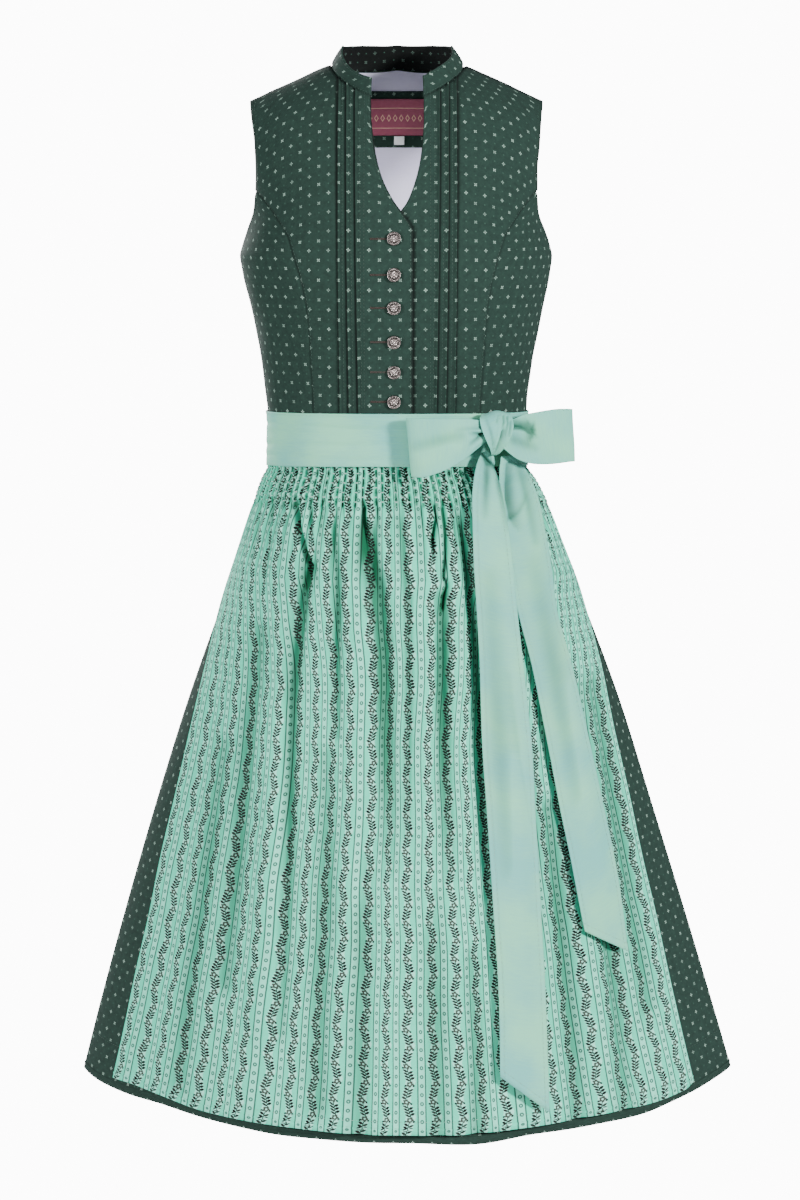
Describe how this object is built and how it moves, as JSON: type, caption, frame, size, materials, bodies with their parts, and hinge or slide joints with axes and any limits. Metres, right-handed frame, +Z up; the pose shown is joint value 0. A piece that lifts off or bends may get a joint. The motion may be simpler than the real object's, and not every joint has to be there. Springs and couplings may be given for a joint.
{
  "type": "dirndl dress",
  "caption": "Sleeveless dirndl dress with a stand collar, buttoned bodice, full skirt and smocked apron tied in a bow, hollow as worn.",
  "frame": {"origin": "between the shoulder seams at mid-height, where the wearer holds the dress", "axes": "+X to the wearer's left, -Y the way the wearer faces, +Z up towards the collar"},
  "size_m": [0.6617, 0.4531, 1.0356],
  "materials": {
    "dark_green_cotton": "printed cotton, matte",
    "mint_print_cotton": "printed cotton, matte",
    "plain_mint_cotton": "shot cotton, soft sheen",
    "lavender_lining": "plain cotton, matte",
    "mauve_label": "woven, bare of words",
    "white_tape": "woven tape, bare of words",
    "old_silver": "old silver, satin"
  },
  "bodies": {
    "root": {"bodice_centre_front_right": "dark_green_cotton", "bodice_centre_front_left": "dark_green_cotton", "bodice_side_front_right": "dark_green_cotton", "bodice_side_front_left": "dark_green_cotton", "bodice_back": "dark_green_cotton", "bodice_back_lining": "lavender_lining", "collar": "dark_green_cotton", "neck_patch": "dark_green_cotton", "neck_label": "mauve_label", "size_tab": "white_tape", "button_1": "old_silver", "button_2": "old_silver", "button_3": "old_silver", "button_4": "old_silver", "button_5": "old_silver", "button_6": "old_silver", "skirt_front": "dark_green_cotton", "skirt_back": "dark_green_cotton", "apron": "mint_print_cotton", "apron_waistband": "plain_mint_cotton", "apron_tie_back": "plain_mint_cotton", "bow_loop_right": "plain_mint_cotton", "bow_loop_left": "plain_mint_cotton", "bow_knot": "plain_mint_cotton", "bow_tail_right": "plain_mint_cotton", "bow_tail_left": "plain_mint_cotton"}
  },
  "joints": []
}
